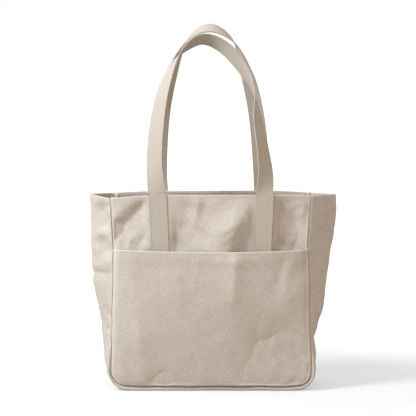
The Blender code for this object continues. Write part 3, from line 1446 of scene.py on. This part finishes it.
@dataclass
class Stitching:
    """Lockstitch in cotton thread: one stitch is modelled, and repeated along every row."""

    length: float = 0.0030
    pitch: float = 0.0036
    radius: float = 0.00033

    def stitch(self) -> Piece:
        """Model one stitch, along X with its top up Z.

        Returns:
            The stitch.
        """
        bpy.ops.object.select_all(action="DESELECT")
        bpy.ops.mesh.primitive_uv_sphere_add(segments=6, ring_count=4, radius=1.0)
        made = just_added()
        turn = Matrix.Rotation(math.pi / 2, 4, "Y")
        made.data.transform(Matrix.Diagonal((self.length / 2, self.radius, self.radius, 1)) @ turn)
        made.data.shade_smooth()
        return made

    def sewn(self, one: Array, points: Array, outwards: Array) -> Array:
        """Place copies of the stitch along a row.

        Args:
            one: The stitch's vertices.
            points: The points along the row.
            outwards: The ways outwards from the cloth there.

        Returns:
            The vertices of every copy, one after another.
        """
        lengths = lengths_along(points)
        index = np.searchsorted(lengths, np.arange(self.pitch, lengths[-1] - self.pitch, self.pitch))
        way = unit(np.gradient(points, axis=0))[index]
        aside = unit(np.cross(outwards[index], way))
        axes = np.stack([way, aside, np.cross(way, aside)], axis=1)
        return (points[index][:, None] + one @ axes).reshape(-1, 3)

    def build(self, name: str, rows: Iterable[Row], finish: Material) -> None:
        """Sew rows of stitches into one piece.

        Args:
            name: The piece's name.
            rows: The points along each row, with the ways outwards from the cloth there.
            finish: The thread's material.
        """
        piece = self.stitch()
        piece.name = piece.data.name = name
        one = points_of(piece)
        every = np.vstack([self.sewn(one, *row) for row in rows])
        apply(piece, "ARRAY", count=len(every) // len(one), use_relative_offset=False)
        move_to(piece, every)
        finish_piece(piece, finish)
        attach(piece, BAG)


# --- the bag


CRUMPLES = (  # of the front, the back, the pocket and the gusset
    Crumple(1, 0.0034, 0.034),
    Crumple(2, 0.0018, 0.045),
    Crumple(3, 0.0017, 0.055),
    Crumple(4, 0.0022, 0.040),
)
TAPE_LIGHT = (0.61, 0.53, 0.45, 1)
TAPE_DARK = (0.47, 0.40, 0.33, 1)
TAPE_FIBRES = 1500.0
FRONT_FOLDS = (
    Fold((-0.119, 0.354), (-0.182, 0.290), -0.0090, 0.030, 0.012, 0.4),
    Fold((-0.140, 0.360), (-0.186, 0.318), 0.0021, 0.012, 0.020),
    Fold((-0.122, 0.286), (-0.143, 0.268), -0.0030, 0.010, 0.008, 0.6),
    Fold((-0.150, 0.286), (-0.153, 0.262), 0.0022, 0.006, 0.006, 0.6),
    Fold((-0.036, 0.356), (-0.070, 0.264), -0.0080, 0.030, 0.026, 0.4),
    Fold((-0.023, 0.366), (-0.032, 0.312), 0.0055, 0.010, 0.030, 0.6),
    Fold((0.064, 0.344), (0.018, 0.240), 0.0100, 0.020, 0.034, 0.5),
    Fold((0.050, 0.324), (-0.008, 0.252), 0.0050, 0.016, 0.024, 0.4, 0.003),
    Fold((0.150, 0.420), (0.146, 0.225), -0.0075, 0.020, 0.050, 0.3, 0.010),
    Fold((0.116, 0.352), (0.174, 0.298), -0.0046, 0.010, 0.012, 0.5),
    Fold((0.108, 0.276), (0.180, 0.268), -0.0050, 0.020, 0.008, 0.4),
    Fold((0.176, 0.360), (0.170, 0.328), 0.0031, 0.008, 0.014, 0.5),
    Fold((0.150, 0.282), (0.142, 0.262), 0.0026, 0.006, 0.007, 0.6),
)
BACK_FOLDS = (  # nothing shows these, so they are a quieter form of the front's
    Fold((-0.045, 0.350), (-0.080, 0.210), 0.0055, 0.020, 0.040),
    Fold((0.070, 0.330), (0.020, 0.170), 0.0060, 0.024, 0.045),
    Fold((0.150, 0.340), (0.120, 0.200), -0.0055, 0.014, 0.030),
    Fold((-0.150, 0.330), (-0.165, 0.250), -0.0040, 0.016, 0.020),
    Fold((-0.140, 0.140), (-0.090, 0.020), 0.0045, 0.018, 0.034),
    Fold((0.130, 0.120), (0.090, 0.020), -0.0050, 0.026, 0.022),
)
POCKET_FOLDS = (
    Fold((-0.024, 0.258), (-0.030, 0.196), 0.0017, 0.014, 0.020, 0.7),
    Fold((0.044, 0.270), (0.036, 0.140), 0.0080, 0.042, 0.055, 0.5),
    Fold((0.0445, 0.262), (0.0415, 0.175), 0.0038, 0.016, 0.011, 0.7),
    Fold((-0.072, 0.240), (-0.056, 0.160), 0.0030, 0.014, 0.030, 0.7, 0.004),
    Fold((0.152, 0.256), (0.134, 0.186), 0.0020, 0.010, 0.012, 0.7, 0.003),
    Fold((0.158, 0.192), (0.128, 0.140), 0.0018, 0.014, 0.016, 0.7),
    Fold((0.150, 0.112), (0.088, 0.070), -0.0068, 0.045, 0.034, 0.6, 0.016),
    Fold((0.135, 0.250), (0.122, 0.190), -0.0024, 0.010, 0.012, 0.6),
    Fold((0.098, 0.090), (0.086, 0.004), -0.0054, 0.045, 0.030, 0.7, 0.016),
    Fold((-0.133, 0.105), (-0.125, 0.004), 0.0034, 0.012, 0.018, 0.7, 0.006),
    Fold((-0.086, 0.034), (-0.078, -0.046), -0.0065, 0.007, 0.026, 0.45),
    Fold((-0.152, 0.262), (-0.133, 0.100), 0.0028, 0.032, 0.022, 0.6),
)
GUSSET_FOLDS = {
    Hand.LEFT: (
        Fold((-0.036, 0.345), (-0.050, 0.300), -0.0080, 0.019, 0.018, 0.5),
        Fold((-0.034, 0.285), (-0.048, 0.252), -0.0075, 0.019, 0.018, 0.6),
        Fold((-0.036, 0.240), (-0.038, 0.080), -0.0065, 0.020, 0.022, 0.6),
        Fold((-0.062, 0.217), (0.060, 0.214), -0.0042, 0.007, 0.009),
        Fold((-0.066, 0.142), (-0.030, 0.138), -0.0022, 0.006, 0.006),
        Fold((-0.066, 0.116), (-0.020, 0.110), -0.0025, 0.006, 0.006),
    ),
    Hand.RIGHT: (
        Fold((-0.066, 0.283), (-0.016, 0.295), -0.0024, 0.008, 0.010, 0.6),
        Fold((-0.060, 0.094), (0.020, 0.092), -0.0022, 0.007, 0.007),
    ),
}
FRONT_RUN = (
    (-1.02, 0.0, 0),
    (-1.06, 0.20, 27),
    (-1.03, 0.40, 34),
    (-0.93, 0.62, 48),
    (-0.72, 0.83, 73),
    (-0.47, 0.945, 107),
    (-0.14, 1.0, 127),
    (0.24, 0.945, 135),
    (0.59, 0.81, 128),
    (0.79, 0.67, 98),
    (0.86, 0.50, 62),
    (0.95, 0.31, 49),
    (1.01, 0.14, 32),
    (0.985, 0.0, 0),
)
BACK_RUN = (
    (-0.99, 0.0, 0),
    (-1.01, 0.13, 15),
    (-0.955, 0.43, 25),
    (-0.80, 0.68, 45),
    (-0.48, 0.915, 90),
    (-0.03, 1.0, 118),
    (0.43, 0.915, 92),
    (0.67, 0.725, 50),
    (0.795, 0.583, 36),
    (0.895, 0.395, 25),
    (0.965, 0.13, 15),
    (0.985, 0.0, 0),
)


@dataclass
class Tote:
    """The whole bag: canvas body, two webbing handles, seam tape and thread."""

    form: BagForm
    hem_row: float = 0.0225
    row_sunk: float = 0.0002
    pocket_hem: Hem = Hem(depth=0.018, radius=0.0013, stitch=0.008)
    strap_over: float = 0.0024  # from the canvas to the outside of a strap
    strap_edge: float = 0.0004
    strap_inset: float = 0.0028
    strap_row_low: dict[Side, float] = field(default_factory=lambda: {Side.FRONT: 0.245, Side.BACK: 0.230})
    strap_row_top: float = 0.008  # below the rim

    def build(self) -> None:
        """Make every piece of the bag."""
        form = self.form
        canvas, webbing = CanvasFinish().material("canvas"), WebbingFinish().material("webbing")
        tape = CottonFinish(TAPE_LIGHT, TAPE_DARK, TAPE_FIBRES).material("twill_tape")
        thread = CottonFinish().material("thread")
        front_relief, back_relief, pocket_relief, gusset_relief = CRUMPLES
        front = Wall(form, Side.FRONT, "front_panel_canvas", "front_panel", front_relief, FRONT_FOLDS)
        back = Wall(form, Side.BACK, "back_panel_canvas", "back_panel", back_relief, BACK_FOLDS)
        pocket_names = ("front_pocket_canvas", "front_pocket")
        pocket = Pocket(form, Side.FRONT, *pocket_names, pocket_relief, POCKET_FOLDS, self.pocket_hem)
        gusset = Gusset(form, gusset_relief, GUSSET_FOLDS)
        handles = [Handle(form, Side.FRONT, FRONT_RUN, 0.288), Handle(form, Side.BACK, BACK_RUN, 0.3095)]
        for cloth in (front, back, pocket, gusset):
            cloth.build(canvas)
        for handle in handles:
            handle.build(webbing)
        for side in Side:
            SeamTape(form, side, gusset).build(tape)
        Stitching().build("rim_stitches", self.rim_rows((front, back), gusset), thread)
        Stitching().build("pocket_stitches", [pocket.row(pocket.hem.stitch)], thread)
        Stitching().build("strap_stitches", self.strap_rows(handles), thread)

    def rim_rows(self, walls: Iterable[Wall], gusset: Gusset) -> list[Row]:
        """Give the two rows of topstitching that hold the rim's hem, over the straps as well.

        Args:
            walls: The two long walls.
            gusset: The gusset.

        Returns:
            Every stretch of the rows.
        """
        rows = []
        for below in (gusset.hem.stitch, self.hem_row):
            sunk = self.row_sunk if below == self.hem_row else 0.0
            for wall in walls:
                points, outwards = wall.row(below)
                on_strap = self.form.strap_cover(points[:, 0], points[:, 2], self.strap_edge)
                rows.append((points + outwards * (on_strap * self.strap_over - sunk)[:, None], outwards))
            rows.extend(gusset.row(hand, below) for hand in Hand)
        return rows

    def strap_rows(self, handles: Iterable[Handle]) -> list[Row]:
        """Give the rows along both edges of each sewn end.

        Args:
            handles: The two handles.

        Returns:
            The rows.
        """
        top = self.form.rim - self.strap_row_top
        return [
            handle.edge_row(hand, edge, self.strap_inset, (self.strap_row_low[handle.side], top))
            for handle in handles
            for hand in Hand
            for edge in (-1, 1)
        ]


# --- the studio


@dataclass
class Studio:
    """A pale floor, soft light from the upper left, and the camera."""

    key_power: float = 43.5
    key_size: float = 0.65
    key_distance: float = 2.0
    key_way: tuple[float, float, float] = (-0.73, -0.45, 0.78)
    key_colour: tuple[float, float, float] = (0.75, 0.895, 1.0)
    aim: tuple[float, float, float] = (0.0, 0.0, 0.25)
    ambient: Colour = (1.0, 0.935, 0.865, 1)
    ambient_strength: float = 0.82
    floor_size: float = 60.0
    near_glow: Colour = (0.375, 0.415, 0.475, 1)
    far_glow: Colour = (0.9, 0.9, 0.9, 1)
    glow_start: float = 0.40
    glow_end: float = 1.1
    floor_colour: Colour = (0.50, 0.465, 0.415, 1)
    camera_place: tuple[float, float, float] = (-0.0063, -3.3427, 0.6003)
    camera_tilt: float = math.radians(85.501)
    camera_lens: float = 153.66
    camera_far: float = 100.0

    def build(self) -> None:
        """Make the floor, the lights and the camera."""
        self.floor()
        self.key()
        self.world()
        bpy.ops.object.camera_add(location=self.camera_place, rotation=(self.camera_tilt, 0, 0))
        camera = just_added()
        camera.data.lens = self.camera_lens
        camera.data.clip_end = self.camera_far
        bpy.context.scene.camera = camera
        bpy.context.scene.view_settings.view_transform = "Standard"

    def floor(self) -> None:
        """Lay the floor."""
        bpy.ops.mesh.primitive_plane_add(size=self.floor_size)
        floor = just_added()
        floor.name = "floor"
        kit = NodeKit("studio_floor")
        kit.shader.inputs["Base Color"].default_value = self.floor_colour
        place = kit.node("ShaderNodeTexCoord", {}, {})["Object"]
        far = kit.node("ShaderNodeVectorMath", {"operation": "LENGTH"}, {0: place})["Value"]
        colour = kit.blend(far.over(self.glow_start, self.glow_end), self.near_glow, self.far_glow)
        seen = kit.node("ShaderNodeLightPath", {}, {})["Is Camera Ray"]
        kit.feed(kit.shader.inputs["Emission Color"], kit.blend(seen, (0, 0, 0, 1), colour))
        kit.set(Emission_Strength=1.0, Roughness=1.0, Specular_IOR_Level=0.0)
        floor.data.materials.append(kit.material)

    def key(self) -> None:
        """Hang the main light near the bag, a soft disk."""
        way = Vector(self.key_way).normalized()
        place = Vector(self.aim) + way * self.key_distance
        bpy.ops.object.light_add(type="AREA", location=place, rotation=way.to_track_quat("Z", "Y").to_euler())
        light = just_added().data
        light.energy, light.color = self.key_power, self.key_colour
        light.shape, light.size = "DISK", self.key_size

    def world(self) -> None:
        """Surround the bag with warm light, on a white backdrop."""
        world = bpy.data.worlds.new("studio")
        bpy.context.scene.world = world
        world.use_nodes = True
        tree = world.node_tree
        warm = tree.nodes["Background"]
        warm.inputs["Color"].default_value = self.ambient
        warm.inputs["Strength"].default_value = self.ambient_strength
        white = tree.nodes.new("ShaderNodeBackground")
        white.inputs["Color"].default_value = (1, 1, 1, 1)
        ray, mixer = tree.nodes.new("ShaderNodeLightPath"), tree.nodes.new("ShaderNodeMixShader")
        tree.links.new(ray.outputs["Is Camera Ray"], mixer.inputs[0])
        tree.links.new(warm.outputs[0], mixer.inputs[1])
        tree.links.new(white.outputs[0], mixer.inputs[2])
        tree.links.new(mixer.outputs[0], tree.nodes["World Output"].inputs["Surface"])


def main() -> None:
    logging.basicConfig(level=logging.INFO, format="%(name)s: %(message)s")
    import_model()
    Studio().build()
    Tote(BagForm.from_frame()).build()


if __name__ == "__main__":
    main()
